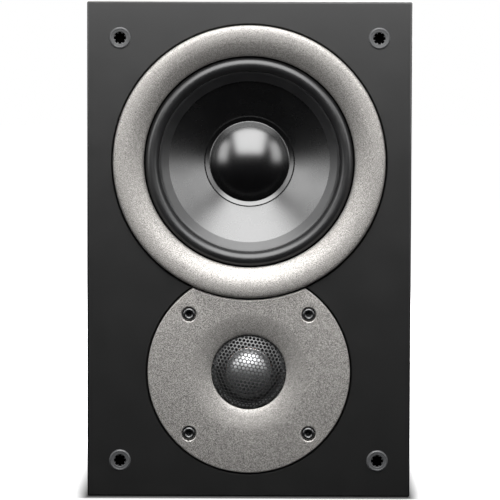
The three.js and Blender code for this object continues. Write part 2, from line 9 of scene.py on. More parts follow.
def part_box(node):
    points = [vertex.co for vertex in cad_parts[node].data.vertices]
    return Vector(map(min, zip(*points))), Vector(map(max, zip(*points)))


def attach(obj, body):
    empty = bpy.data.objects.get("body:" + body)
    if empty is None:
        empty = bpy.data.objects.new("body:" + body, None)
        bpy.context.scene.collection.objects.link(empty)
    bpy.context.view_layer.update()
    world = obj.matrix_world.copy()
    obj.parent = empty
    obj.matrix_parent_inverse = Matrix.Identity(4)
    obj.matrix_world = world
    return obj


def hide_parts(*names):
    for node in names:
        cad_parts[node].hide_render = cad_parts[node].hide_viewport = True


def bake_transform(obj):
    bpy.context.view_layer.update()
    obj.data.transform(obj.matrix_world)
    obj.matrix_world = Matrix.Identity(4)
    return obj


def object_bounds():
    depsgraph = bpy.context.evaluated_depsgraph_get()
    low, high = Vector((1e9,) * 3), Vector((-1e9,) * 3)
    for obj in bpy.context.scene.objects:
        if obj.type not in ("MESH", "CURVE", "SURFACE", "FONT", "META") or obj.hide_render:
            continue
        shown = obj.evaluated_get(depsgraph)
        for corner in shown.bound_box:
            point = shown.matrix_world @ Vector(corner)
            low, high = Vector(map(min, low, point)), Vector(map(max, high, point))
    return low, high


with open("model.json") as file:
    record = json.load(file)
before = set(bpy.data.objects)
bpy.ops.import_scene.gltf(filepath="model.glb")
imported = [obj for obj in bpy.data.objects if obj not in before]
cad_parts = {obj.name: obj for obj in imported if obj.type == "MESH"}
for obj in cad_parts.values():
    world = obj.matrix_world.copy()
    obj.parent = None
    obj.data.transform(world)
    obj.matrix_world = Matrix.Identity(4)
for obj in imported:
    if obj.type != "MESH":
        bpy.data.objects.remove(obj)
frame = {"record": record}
cad_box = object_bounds()
BODY_OF = {node: body for body, nodes in frame["record"]["behaviour"]["bodies"].items() for node in nodes}
MM = 0.001

# ---- places, from the frame
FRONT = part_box("front_baffle")[0].y


def middle(node):
    low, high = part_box(node)
    return (low + high) / 2


def on_axis(node, y):
    """The point at y on the line along Y through a node's middle."""
    centre = middle(node)
    return Vector((centre.x, y, centre.z))


def on_front(node):
    return on_axis(node, FRONT)


WOOFER = on_front("woofer_trim_ring")
TWEETER = on_front("tweeter_mesh_guard")
SUNK = 1.6  # how far the woofer sits behind the baffle's face, in mm
DRIVER = WOOFER + Vector((0, SUNK * MM, 0))
DIAGONALS = ("upper_left", "upper_right", "lower_left", "lower_right")

# ---- dimensions shared by several pieces
EDGE = 0.9  # rounding of the baffle's own edges
LIP = 0.5  # chamfer round each rebate
FINE = 192  # sides of the large rounds
MEDIUM = 96
SMALL = 48
WELD = 1e-7  # points closer than this, in metres, become one


# ---- mesh helpers
def linked(name, data):
    """A new object in the scene."""
    obj = bpy.data.objects.new(name, data)
    bpy.context.scene.collection.objects.link(obj)
    return obj


def piece(name, vertices, faces):
    mesh = bpy.data.meshes.new(name)
    mesh.from_pydata([tuple(v) for v in vertices], [], faces)
    return linked(name, mesh)


def tidy(obj, angle=32):
    """Welds the mesh, turns its faces outwards and shades it smooth up to an angle in degrees."""
    bm = bmesh.new()
    bm.from_mesh(obj.data)
    bmesh.ops.remove_doubles(bm, verts=bm.verts, dist=WELD)
    bmesh.ops.recalc_face_normals(bm, faces=bm.faces)
    bm.to_mesh(obj.data)
    bm.free()
    obj.data.shade_smooth()
    obj.data.set_sharp_from_angle(angle=math.radians(angle))
    return obj


def modify(obj, kind, **settings):
    modifier = obj.modifiers.new(kind, kind)
    for key, value in settings.items():
        setattr(modifier, key, value)
    return modifier


def applied(obj):
    """Makes the modifiers' result the object's own mesh."""
    graph = bpy.context.evaluated_depsgraph_get()
    made = bpy.data.meshes.new_from_object(obj.evaluated_get(graph))
    obj.modifiers.clear()
    obj.data = made
    return obj


def boolean(obj, *tools, operation="DIFFERENCE"):
    for tool in tools:
        modify(obj, "BOOLEAN", operation=operation, solver="EXACT", object=tool)
    applied(obj)
    for tool in tools:
        bpy.data.objects.remove(tool)
    return obj


def turned(name, outline, centre, sides=FINE, shape=None):
    """Turns an outline of (radius, depth) points, in mm, about an axis along Y through centre.
    An outline that starts off the axis closes on itself. shape(angle, radius, depth) may move a point."""
    closed = outline[0][0] > 0
    vertices, rows = [], []
    for radius, depth in outline:
        row = []
        for i in range(sides if radius > 0 else 1):
            angle = 2 * math.pi * i / sides
            r, d = shape(angle, radius, depth) if shape else (radius, depth)
            row.append(len(vertices))
            vertices.append(Vector((r * math.sin(angle), d, r * math.cos(angle))) * MM + centre)
        rows.append(row)
    faces = []
    for first, second in zip(rows, rows[1:] + (rows[:1] if closed else [])):
        for i in range(sides):
            j = (i + 1) % sides
            corners = [(first, i), (first, j), (second, j), (second, i)]
            faces.append(tuple(dict.fromkeys(row[k % len(row)] for row, k in corners)))
    return tidy(piece(name, vertices, faces))


def filleted(points, step=15):
    """An outline with rounded corners: each point is (a, b) or (a, b, radius of that corner)."""
    made = []
    for i, (a, b, *fillet) in enumerate(points):
        corner = Vector((a, b))
        if not fillet:
            made.append((a, b))
            continue
        before = (Vector(points[i - 1][:2]) - corner).normalized()
        after = (Vector(points[(i + 1) % len(points)][:2]) - corner).normalized()
        half = before.angle(after) / 2
        centre = corner + (before + after).normalized() * (fillet[0] / math.sin(half))
        start = corner + before * (fillet[0] / math.tan(half)) - centre
        turn = math.pi - 2 * half
        if before.x * after.y - before.y * after.x > 0:
            turn = -turn
        steps = max(2, round(abs(math.degrees(turn)) / step))
        for k in range(steps + 1):
            spun = Matrix.Rotation(turn * k / steps, 2) @ start
            made.append(tuple(centre + spun))
    return made


def smooth(points, per=6):
    """A Catmull-Rom curve through points of two or three numbers, with per steps between two of them."""
    made = []
    padded = [points[0], *points, points[-1]]
    for p0, p1, p2, p3 in zip(padded, padded[1:], padded[2:], padded[3:]):
        for k in range(per):
            t = k / per
            point = []
            for a, b, c, d in zip(p0, p1, p2, p3):
                square, cube = 2 * a - 5 * b + 4 * c - d, 3 * b - a - 3 * c + d
                point.append(0.5 * (2 * b + (c - a) * t + square * t**2 + cube * t**3))
            made.append(tuple(point))
    return [*made, tuple(points[-1])]


def arc(centre_r, centre_d, radius, start, end, steps=12):
    """Points on a circle in the (radius, depth) plane, angles in degrees."""
    angles = [math.radians(start + (end - start) * i / steps) for i in range(steps + 1)]
    return [(centre_r + radius * math.cos(a), centre_d + radius * math.sin(a)) for a in angles]


def flat_ring(inner, outer, y0, y1, inside, outside):
    """The outline of a flat ring, with fillets of one radius inside and another outside."""
    return filleted([(inner, y0, inside), (outer, y0, outside), (outer, y1, outside), (inner, y1, inside)])


def sheet_outline(path, thickness):
    """The closed outline of a wall of that thickness whose middle follows a path."""
    sides = {1: [], -1: []}
    for i, (r, d) in enumerate(path):
        r0, d0 = path[max(i - 1, 0)]
        r1, d1 = path[min(i + 1, len(path) - 1)]
        reach = thickness / 2 / math.hypot(r1 - r0, d1 - d0)
        for sign, side in sides.items():
            side.append((0 if r == 0 else r - sign * (d1 - d0) * reach, d + sign * (r1 - r0) * reach))
    return sides[1] + sides[-1][::-1]


def cap(radius, height, rim, steps=24):
    """A spherical cap's path from the axis to its rim, bulging towards the front."""
    sphere = (radius**2 + height**2) / (2 * height)
    edge = math.degrees(math.asin(radius / sphere))
    points = arc(0, rim - height + sphere, sphere, -90, edge - 90, steps)
    return [(0, points[0][1]), *points[1:]]


def hole(centre, radius, depth, start=-1.0, sides=FINE, lip=(LIP, LIP)):
    """A cutter for a round hole whose face is at depth start + 1; lip is its chamfer's width and depth."""
    face = start + 1
    width, deep = lip
    mouth = [(radius + width * (1 + 1 / deep), start), (radius, face + deep)] if width else [(radius, start)]
    return turned("cutter", [(0, start), *mouth, (radius, depth), (0, depth)], centre, sides)


def drill(place, radius, y0, y1, sides=SMALL):
    """A cutter for a plain round hole along Y, between two depths behind a place, in mm."""
    return turned("cutter", [(0, y0), (radius, y0), (radius, y1), (0, y1)], place, sides)


def prism(name, outline, y0, y1):
    """Extrudes an outline of (x, z) points, in metres, from y0 to y1."""
    count = len(outline)
    vertices = [(x, y, z) for y in (y0, y1) for x, z in outline]
    sides = [(i, (i + 1) % count, count + (i + 1) % count, count + i) for i in range(count)]
    faces = [tuple(range(count)), tuple(range(count, 2 * count)), *sides]
    return tidy(piece(name, vertices, faces))


def slab(name, outline, y0, y1):
    """Extrudes an outline in mm between two depths in mm."""
    return prism(name, [(x * MM, z * MM) for x, z in outline], y0 * MM, y1 * MM)


def tile(name, width, height, radius, z, y0, y1):
    """A slab with rounded corners, whose middle is z mm above the origin's axis."""
    points = []
    for sx, sz, turn in ((1, 1, 0), (-1, 1, 90), (-1, -1, 180), (1, -1, 270)):
        points += arc(sx * (width / 2 - radius), z + sz * (height / 2 - radius), radius, turn, turn + 90, 6)
    return slab(name, points, y0, y1)


def block(name, low, high):
    """A block from one corner to the other, in metres."""
    return prism(name, [(low.x, low.z), (high.x, low.z), (high.x, high.z), (low.x, high.z)], low.y, high.y)


def lofted(name, rows):
    """A solid whose sides join each row of points to the next, with a flat face on each end."""
    count = len(rows[0])
    faces = []
    for row in range(len(rows) - 1):
        for i in range(count):
            j = (i + 1) % count
            faces.append((row * count + i, row * count + j, (row + 1) * count + j, (row + 1) * count + i))
    last = (len(rows) - 1) * count
    faces += [tuple(range(count)), tuple(range(last, last + count))]
    return piece(name, [point for row in rows for point in row], faces)


def flat_shaded(obj, angle=35):
    """Smooth rounded edges next to flat faces."""
    obj.data.shade_smooth()
    obj.data.set_sharp_from_angle(angle=math.radians(angle))
    modify(obj, "WEIGHTED_NORMAL", keep_sharp=True)
    return applied(obj)


def bevelled(obj, width, segments=2, angle=40):
    """Rounds every sharp edge, then shades the flat faces flat."""
    limit = {"limit_method": "ANGLE", "angle_limit": math.radians(angle)}
    modify(obj, "BEVEL", width=width * MM, segments=segments, harden_normals=False, **limit)
    return flat_shaded(applied(obj), angle)


def dress(obj, node, material):
    """The piece stands for a node: it hides it, rides on its body and takes its slot."""
    obj.data.materials.clear()
    obj.data.materials.append(material)
    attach(obj, BODY_OF[node])
    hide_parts(node)


def hang(obj, node, centre, outer, inner):
    """Bakes a soft ring's placing into its mesh and hides the node it stands for. For each point it works out
    how far it lies from the outer radius towards the inner one, round a centre, but nothing uses that share.
    Radii are in mm."""
    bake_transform(obj)
    for vertex in obj.data.vertices:
        away = vertex.co - centre
        t = (outer - math.hypot(away.x, away.z) / MM) / (outer - inner)
        t = min(1.0, max(0.0, t))
    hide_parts(node)


# ---- material helpers
def shader_node(tree, kind, inputs=(), **settings):
    """A new node of a tree. Each input is a value, or the output of another node."""
    node = tree.nodes.new("ShaderNode" + kind)
    for key, value in settings.items():
        setattr(node, key, value)
    for key, value in dict(inputs).items():
        if isinstance(value, bpy.types.NodeSocket):
            tree.links.new(value, node.inputs[key])
        else:
            node.inputs[key].default_value = value
    return node


def calculate(tree, operation, *values):
    """The result of a Math node."""
    return shader_node(tree, "Math", dict(enumerate(values)), operation=operation).outputs[0]


class Finish:
    """A material with one Principled shader, and short calls for the nodes that feed it."""

    def __init__(self, name, roughness, metallic=0.0, **sockets):
        self.material = bpy.data.materials.new(name)
        self.material.use_nodes = True
        self.tree = self.material.node_tree
        self.shader = self.tree.nodes["Principled BSDF"]
        self.place = self.tree.nodes.new("ShaderNodeTexCoord").outputs["Object"]
        self.normal = None
        self.shader.inputs["Roughness"].default_value = roughness
        self.shader.inputs["Metallic"].default_value = metallic
        for socket, value in sockets.items():
            self.shader.inputs[socket.replace("_", " ")].default_value = value

    def add(self, kind, inputs=(), **settings):
        return shader_node(self.tree, kind, inputs, **settings)

    def stretched(self, x, y, z):
        return self.add("Mapping", {"Vector": self.place, "Scale": (x, y, z)}).outputs[0]

    def noise(self, size, detail=3.0, place=None, rough=0.55):
        """Noise whose features are about size mm across."""
        inputs = {"Vector": place or self.place, "Scale": 1 / (size * MM)}
        return self.add("TexNoise", {**inputs, "Detail": detail, "Roughness": rough}).outputs["Fac"]

    def span(self, value, low, high, start=0.3, end=0.7):
        """value from start to end becomes low to high."""
        inputs = {"Value": value, "From Min": start, "From Max": end, "To Min": low, "To Max": high}
        return self.add("MapRange", inputs).outputs["Result"]

    def colour(self, value, *stops):
        """The base colour follows value through stops of (position, (r, g, b))."""
        ramp = self.add("ValToRGB", {"Fac": value})
        elements = ramp.color_ramp.elements
        while len(elements) < len(stops):
            elements.new(0.5)
        for element, (position, rgb) in zip(elements, stops):
            element.position = position
            element.color = (*rgb, 1)
        self.tree.links.new(ramp.outputs["Color"], self.shader.inputs["Base Color"])

    def mottle(self, rgb, size, spread=0.12, detail=3.0, place=None):
        """A base colour that varies by a share of itself, over spots of a size in mm."""
        dark = tuple(c * (1 - spread) for c in rgb)
        light = tuple(min(1, c * (1 + spread)) for c in rgb)
        self.colour(self.noise(size, detail, place), (0.3, dark), (0.7, light))

    def rough(self, low, high, size=20.0, place=None):
        result = self.span(self.noise(size, 4.0, place), low, high)
        self.tree.links.new(result, self.shader.inputs["Roughness"])

    def bump(self, height, strength=0.3, distance=0.05):
        """Adds a layer of bump, distance in mm, on top of the layers before it."""
        inputs = {"Height": height, "Strength": strength, "Distance": distance * MM}
        if self.normal:
            inputs["Normal"] = self.normal
        self.normal = self.add("Bump", inputs).outputs["Normal"]
        self.tree.links.new(self.normal, self.shader.inputs["Normal"])


def moulded(name, rgb, roughness, spread=0.1, grain=0.25, **sockets):
    """Moulded plastic: slow changes of tone and gloss, and a fine spark-eroded grain."""
    made = Finish(name, roughness, **sockets)
    made.mottle(rgb, 14, spread)
    made.rough(roughness - 0.05, roughness + 0.06, 9)
    made.bump(made.noise(grain, 2.0), 0.25, 0.02)
    return made.material


def plated(name, rgb, roughness):
    """Bright metal, finely mottled."""
    made = Finish(name, roughness, 1.0)
    made.mottle(rgb, 6, 0.08, 4.0)
    made.rough(roughness - 0.06, roughness + 0.08, 1.2)
    made.bump(made.noise(0.5, 3.0), 0.15, 0.02)
    return made.material


def slick(name, rgb, spots, spread, roughness, gloss, dimples=0.0, metallic=0.0, **sockets):
    """A smooth finish whose tone changes over spots of a size in mm, and its roughness by
    gloss, (low, high, size in mm). Dimples of a size in mm are optional."""
    made = Finish(name, roughness, metallic, **sockets)
    made.mottle(rgb, spots, spread)
    made.rough(*gloss)
    if dimples:
        made.bump(made.noise(dimples, 2.0), 0.12, 0.02)
    return made.material


# ---- materials
def silver_paint():
    """Satin silver paint with a fine sandy texture."""
    made = Finish("silver_paint", 0.48, 0.74)
    grains = made.noise(0.26, 0.0)
    made.colour(grains, (0.3, (0.11, 0.105, 0.1)), (0.5, (0.305, 0.293, 0.28)), (0.7, (0.6, 0.578, 0.55)))
    made.rough(0.48, 0.53, 0.8)
    made.bump(made.noise(0.3, 0.0), 0.25, 0.03)
    return made.material


def ash_vinyl(name, along):
    """Black ash film: open pores and bands that run along one direction of the board."""
    made = Finish(name, 0.5, Specular_IOR_Level=0.3)
    grain = made.stretched(*along)
    bands = made.noise(9, 5.0, grain, 0.65)
    dark, middling, light = (0.010, 0.0095, 0.009), (0.016, 0.015, 0.014), (0.024, 0.022, 0.020)
    made.colour(bands, (0.3, dark), (0.6, middling), (0.75, light))
    pores = made.noise(0.7, 2.0, grain)
    made.rough(0.42, 0.56, 2.5, grain)
    made.bump(made.span(bands, 0, 1), 0.15, 0.12)
    made.bump(made.span(pores, 0, 1, 0.35, 0.45), 0.35, 0.06)
    return made.material


SILVER = silver_paint()
SATIN = {"Specular_IOR_Level": 0.75}
GLOSSY = {"Specular_IOR_Level": 1.0, "IOR": 1.6}
BAFFLE = slick("baffle_vinyl", (0.0035, 0.0035, 0.0035), 25, 0.12, 0.36, (0.345, 0.375, 16), 0.45, **SATIN)
ASH_UPRIGHT = ash_vinyl("ash_upright", (1.0, 1.0, 0.04))
ASH_ACROSS = ash_vinyl("ash_across", (0.04, 1.0, 1.0))
RUBBER = slick("surround_rubber", (0.009, 0.009, 0.0095), 12, 0.2, 0.33, (0.3, 0.37, 7), 0.3, **SATIN)
CONE = slick("cone_polypropylene", (0.0025, 0.0025, 0.0027), 10, 0.2, 0.27, (0.25, 0.29, 12), **GLOSSY)
CAP = slick("cap_polypropylene", (0.0012, 0.0012, 0.0014), 10, 0.2, 0.23, (0.22, 0.245, 9), **GLOSSY)
SOCKET = moulded("socket_plastic", (0.062, 0.063, 0.065), 0.34, 0.08)
MESH_PAINT = moulded("mesh_paint", (0.018, 0.018, 0.018), 0.38, 0.2, Specular_IOR_Level=0.8, IOR=1.6)
DOME_METAL = slick("dome_aluminium", (0.72, 0.72, 0.73), 5, 0.05, 0.38, (0.36, 0.41, 6), metallic=0.9)
SOFT_CLOTH = moulded("soft_surround", (0.009, 0.009, 0.0095), 0.65, 0.2, 0.4)
BLACK_STEEL = moulded("black_steel", (0.004, 0.004, 0.0045), 0.24, 0.2, 0.4, Specular_IOR_Level=0.8, IOR=1.6)
# Painted shade: a dull black that stands in for the shade down in deep recesses, not a finish the parts have.
PAINTED_SHADE_BLACK = moulded("painted_recess_shade", (0.002, 0.002, 0.002), 0.8, 0.2, 0.5, Specular_IOR_Level=0.1)
ZINC = plated("zinc_steel", (0.60, 0.61, 0.63), 0.3)
FERRITE = moulded("ferrite", (0.035, 0.033, 0.035), 0.75, 0.25, 0.5)
COPPER = plated("copper_wire", (0.72, 0.30, 0.13), 0.3)
FILM = moulded("former_film", (0.45, 0.20, 0.05), 0.35)
SPIDER = moulded("spider_cloth", (0.50, 0.36, 0.12), 0.85, 0.2, 0.6)
FOAM = moulded("gasket_foam", (0.02, 0.02, 0.02), 0.9, 0.2, 0.5)
PORT_PLASTIC = moulded("port_plastic", (0.012, 0.012, 0.013), 0.38, 0.15, 0.35)
CUP_PLASTIC = moulded("cup_plastic", (0.013, 0.013, 0.014), 0.46, 0.15, 0.4)
KNOB_BLACK = moulded("knob_black", (0.012, 0.012, 0.013), 0.3, 0.12)
RED_PLASTIC = moulded("red_plastic", (0.42, 0.012, 0.010), 0.3, 0.1)
GOLD = plated("gold_plate", (0.85, 0.60, 0.24), 0.2)
BOARD = moulded("circuit_board", (0.025, 0.12, 0.045), 0.4, 0.2)
TAPE = moulded("capacitor_film", (0.60, 0.42, 0.06), 0.3, 0.1)
CEMENT = moulded("resistor_ceramic", (0.68, 0.66, 0.60), 0.85, 0.12, 0.5)
LEAD = moulded("lead_insulation", (0.35, 0.03, 0.02), 0.45, 0.12)
POLYESTER = moulded("polyester", (0.78, 0.78, 0.76), 0.95, 0.1, 1.5)


# ---- camera
CAMERA = {"distance": 1.40, "height": 0.2162, "aside": 0.0095, "tilt": 3.135, "pan": -0.367, "roll": 0.158}
LENS = 179.6


def camera():
    """Distances are in metres, and turns in degrees: down, to the side and round the line of sight."""
    data = bpy.data.cameras.new("camera")
    data.lens = LENS
    data.sensor_width = 36
    data.clip_start = 0.05
    made = linked("camera", data)
    made.location = (CAMERA["aside"], FRONT - CAMERA["distance"], CAMERA["height"])
    turn = Matrix.Rotation(math.radians(-CAMERA["pan"]), 4, "Z")
    tilt = Matrix.Rotation(math.radians(90 - CAMERA["tilt"]), 4, "X")
    roll = Matrix.Rotation(math.radians(CAMERA["roll"]), 4, "Z")
    made.rotation_euler = (turn @ tilt @ roll).to_euler()
    bpy.context.scene.camera = made


# ---- cabinet
# The radius and depth of each driver's rebate, and the radius of the hole in its floor.
REBATES = {"woofer": (77.2, 5.0 + SUNK, 60.0), "tweeter": (57.9, 4.3, 37.0)}
SOCKET_HOLE = 5.3


def front_baffle():
    low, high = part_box("front_baffle")
    board = bevelled(block("baffle", low, high), EDGE, 3)
    thickness = (high.y - low.y) / MM
    cutters = []
    for centre, driver in ((WOOFER, "woofer"), (TWEETER, "tweeter")):
        rebate, depth, cutout = REBATES[driver]
        cutters.append(hole(centre, rebate, depth, sides=FINE * 2))
        cutters.append(hole(centre, cutout, thickness + 1, lip=(0, 0)))
    for where in DIAGONALS:
        centre = on_front("grille_socket_" + where)
        cutters.append(hole(centre, SOCKET_HOLE, 12.6, sides=SMALL, lip=(0.2, 0.2)))
    boolean(board, *cutters)
    dress(tidy(board, 20), "front_baffle", BAFFLE)


# ---- woofer
def trim_ring():
    skirt = REBATES["woofer"][1] - 0.3
    crown = smooth([
        (76.5, -1.3), (76.4, -2.1), (76.05, -2.8), (75.35, -3.25), (74.5, -3.46), (73.5, -3.57), (72.4, -3.6),
        (70.6, -3.54), (68.9, -3.35), (67.2, -3.01), (65.5, -2.47), (63.8, -1.74), (62.0, -0.78), (60.5, 0.2),
        (59.8, 0.85),
    ], 4)
    lip = [(59.5, 1.2), (59.4, 1.5), (59.4, 4.0), (61.2, 4.0)]
    inside = [(61.2, 1.6), (64, -0.3), (67.2, -1.4), (72, -1.9), (74.3, -1.4), (74.3, skirt)]
    outline = [(76.3, skirt), (76.5, skirt - 0.2), *crown, *lip, *inside]
    dress(turned("trim_ring", outline, WOOFER), "woofer_trim_ring", SILVER)


SLOPE = 0.54  # depth of the cone for each millimetre inwards


def cone_depth(radius):
    return 4 + (50 - radius) * SLOPE


def paint_recess_shade(obj, centre, inner, outer, depth):
    """Paints shade into the unlit recess between two radii, behind a depth, all in mm: its faces take a dull
    black material that stands in for the shade there.
    """
    obj.data.materials.append(PAINTED_SHADE_BLACK)
    for face in obj.data.polygons:
        away = face.center - centre
        within = inner * MM < math.hypot(away.x, away.z) < outer * MM
        if within and away.y > depth * MM:
            face.material_index = 1


def surround():
    lip = 1.15
    glued = [(radius, cone_depth(radius) - lip) for radius in (45.5, 46.5, 49.4, 50.4)]
    path = [*glued, *arc(54.8, 2.9, 3.7, 184, 356, 28), (59.1, 3.0), (62.0, 3.0)]
    made = turned("surround", sheet_outline(path, 0.7), DRIVER)
    made.data.materials.append(RUBBER)
    # Painted shade: the surround's outer flange, down in the groove beside the trim ring, is made dull black.
    paint_recess_shade(made, DRIVER, 58.3, 70, -5)
    hang(made, "woofer_surround", DRIVER, 58.5, 51.0)


def cone():
    neck = smooth([(13.3, 26.2), (16, 24.6), (19, 22.3), (22, 19.6), (25, cone_depth(25))], 4)
    path = neck + [(radius, cone_depth(radius)) for radius in (37, 49.4)]
    dress(turned("cone", sheet_outline(path, 0.8), DRIVER), "woofer_cone", CONE)


def dust_cap():
    radius, edge = 22.4, 42
    height = radius * math.tan(math.radians(edge / 2))
    dome = cap(radius, height, cone_depth(radius) - 1.5, 40)
    path = [*dome, (22.9, cone_depth(22.9) - 1.1), (25.2, cone_depth(25.2) - 0.95)]
    dress(turned("dust_cap", sheet_outline(path, 0.6), DRIVER), "woofer_dust_cap", CAP)


# ---- tweeter
PLATE_FRONT = -0.8
SCREW_SEAT = PLATE_FRONT + 3.6
THROAT = 21.0


def faceplate():
    back = REBATES["tweeter"][1] - 0.05
    flare = smooth([(radius, PLATE_FRONT + sunk) for radius, sunk in (
        (33.4, 0), (32.2, 0.08), (31.0, 0.19), (29.0, 0.44), (27.3, 0.71), (25.3, 1.08), (23.3, 1.55),
        (22.0, 2.0), (21.3, 2.42), (THROAT, 3.0),
    )])
    rim = filleted([(57.05, back), (57.05, PLATE_FRONT, 0.75), (40, PLATE_FRONT)])[:-1]
    outline = [*rim, (35.5, PLATE_FRONT), *flare, (THROAT, 7.4), (34, 7.4), (35, 6.4), (35, back)]
    plate = turned("faceplate", outline, TWEETER)
    bite = hole(WOOFER, REBATES["woofer"][0] + 0.4, back + 1, PLATE_FRONT - 1, FINE * 2, (0.8, 0.42))
    bores = []
    for where in DIAGONALS:
        centre = on_front("tweeter_screw_" + where)
        bores.append(hole(centre, 4.15, SCREW_SEAT, PLATE_FRONT - 1, SMALL, (0.45, 0.25)))
    boolean(plate, bite, *bores)
    dress(tidy(plate, 20), "tweeter_faceplate", SILVER)
    # Painted shade: the throat wall behind the mesh guard is made dull black.
    paint_recess_shade(plate, TWEETER, 0, THROAT + 0.2, 2.0)


def along_path(path, distance):
    """The point at a distance along a path of (radius, depth) points."""
    for (r0, d0), (r1, d1) in zip(path, path[1:]):
        length = math.hypot(r1 - r0, d1 - d0)
        if distance <= length:
            return r0 + (r1 - r0) * distance / length, d0 + (d1 - d0) * distance / length
        distance -= length
    return path[-1]


def mesh_guard():
    """A perforated sheet, pressed into a dome: round holes in a hexagonal pattern."""
    pitch, hole_radius, tilt, thickness = 2.25, 0.93, math.radians(-9), 0.45
    radius, height, edge, steepness, rim = 20.4, 4.2, 2.6, 4.6, 7.75
    shares = [k / 40 for k in range(41)]
    pressed = [(share * radius, edge - height * (1 - share**steepness)) for share in shares]
    path = [*pressed, (radius, rim - 0.4), (radius + 0.4, rim), (radius + 3, rim)]
    reach = sum(math.hypot(b[0] - a[0], b[1] - a[1]) for a, b in zip(path, path[1:]))
    around = 12
    count = int(reach / pitch / 0.8)
    bm = bmesh.new()
    for row in range(-count, count + 1):
        for column in range(-count, count + 1):
            x = (column + (row % 2) / 2) * pitch
            z = row * pitch * math.sqrt(3) / 2
            if math.hypot(x, z) > reach - 1.0:
                continue
            rings = []
            for inside in (True, False):
                ring = []
                for k in range(around):
                    angle = 2 * math.pi * k / around
                    # An even step points at a side of the cell, and an odd one at a corner.
                    cell = pitch / 2 if k % 2 == 0 else pitch / math.sqrt(3)
                    away = hole_radius if inside else cell
                    ring.append(bm.verts.new((x + away * math.cos(angle), 0, z + away * math.sin(angle))))
                rings.append(ring)
            inner, outer = rings
            for k in range(around):
                j = (k + 1) % around
                bm.faces.new((inner[k], inner[j], outer[j], outer[k]))
    bmesh.ops.remove_doubles(bm, verts=bm.verts, dist=0.02)
    for vertex in bm.verts:
        flat = Matrix.Rotation(tilt, 2) @ Vector((vertex.co.x, vertex.co.z))
        distance = flat.length
        away, depth = along_path(path, min(distance, reach))
        spread = away / distance if distance > 0 else 1
        vertex.co = Vector((flat.x * spread, depth, flat.y * spread)) * MM + TWEETER
    bmesh.ops.recalc_face_normals(bm, faces=bm.faces)
    guard = piece("mesh_guard", [], [])
    bm.to_mesh(guard.data)
    bm.free()
    modify(guard, "SOLIDIFY", thickness=thickness * MM, offset=0)
    applied(guard)
    guard.data.shade_smooth()
    guard.data.set_sharp_from_angle(angle=math.radians(50))
    dress(guard, "tweeter_mesh_guard", MESH_PAINT)


DOME_RIM = 9.6


def tweeter_dome():
    path = [*cap(12.3, 5.2, DOME_RIM, 28), (12.75, DOME_RIM + 0.2)]
    dress(turned("tweeter_dome", sheet_outline(path, 0.4), TWEETER, MEDIUM), "tweeter_dome", DOME_METAL)


def tweeter_surround():
    roll = arc(15, DOME_RIM + 0.4, 1.7, 180, 360, 16)
    path = [(13.15, DOME_RIM + 0.7), *roll, (17.2, DOME_RIM + 0.5), (18.6, DOME_RIM + 0.5)]
    made = turned("tweeter_surround", sheet_outline(path, 0.4), TWEETER, MEDIUM)
    made.data.materials.append(SOFT_CLOTH)
    hang(made, "tweeter_surround", TWEETER, 16.9, 13.3)


def socket_head(name, centre, head, height, shank, length, key):
    """A socket head screw: a knurled head with a chamfered rim and a hexagonal socket."""
    rim = filleted([
        (key / 2, -height), (head - 0.8, -height, 0.25), (head, -height + 0.45, 0.2), (head, 0), (shank, 0),
    ])[1:-1]
    outline = [(0, -height), *rim, (shank, 0), (shank, length - 2.5), (0.2, length), (0, length)]
    knurls = 24

    def knurled(angle, radius, depth):
        if radius > head - 0.05 and depth > -height + 0.7:
            return radius - 0.12 * (1 + math.cos(knurls * angle)) / 2, depth
        return radius, depth

    body = turned(name, outline, centre, knurls * 4, knurled)
    corner = key / 2 / math.cos(math.pi / 6)
    cutters = []
    for sides, points in (
        (6, ((0, -1), (corner, -1), (corner, 2.3), (0, 2.5))),
        (SMALL, ((0, -0.3), (corner + 1.0, -0.3), (corner - 0.15, 0.38), (0, 0.38))),
    ):
        outline = [(radius, -height + depth) for radius, depth in points]
        cutters.append(turned("cutter", outline, centre, sides))
    return tidy(boolean(body, *cutters), 30)


def tweeter_screws():
    for where in DIAGONALS:
        node = "tweeter_screw_" + where
        centre = on_axis(node, FRONT + (SCREW_SEAT - 0.05) * MM)
        dress(socket_head(node + "_body", centre, 3.5, 3.0, 1.8, 13, 3.0), node, BLACK_STEEL)


# ---- grille sockets
def grille_socket(where):
    node = "grille_socket_" + where
    ribs, bore, tip = 8, 3.4, 2.7

    def ribbed(angle, radius, depth):
        if radius != bore:
            return radius, depth
        offset = abs((angle * ribs / (2 * math.pi)) % 1 - 0.5) * 2 * math.pi / ribs * bore
        return (tip if offset < 0.42 else bore), depth

    rim = filleted([
        (3.55, -0.1), (3.55, -0.72, 0.1), (4.75, -0.72, 0.05), (4.95, -0.9, 0.08), (5.4, -0.9, 0.12),
        (6.1, -0.3, 0.15), (6.1, -0.05),
    ])
    cavity = [(0, 10.8), (4.3, 10.8), (4.3, 2.2), (bore, 1.8), (bore, 0)]
    outline = [*cavity, *rim, (5.0, -0.05), (4.8, 12), (0, 12)]
    body = turned(node + "_body", outline, on_front(node), MEDIUM, ribbed)
    dress(body, node, SOCKET)
    # Painted shade: the socket's cavity behind its mouth is made dull black.
    paint_recess_shade(body, on_front(node), 0, 4.5, 0.2)


# ---- wrap boards and back
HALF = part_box("top_panel")[1].x / MM
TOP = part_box("top_panel")[1].z / MM
WALL = 12.0  # thickness of the wrap boards
CORNER = 1.6  # radius of the folded film on the cabinet's long edges
BACK_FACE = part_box("back_panel")[1].y / MM
CORNERS = ((-1, -1, 180), (1, -1, 270), (1, 1, 0), (-1, 1, 90))


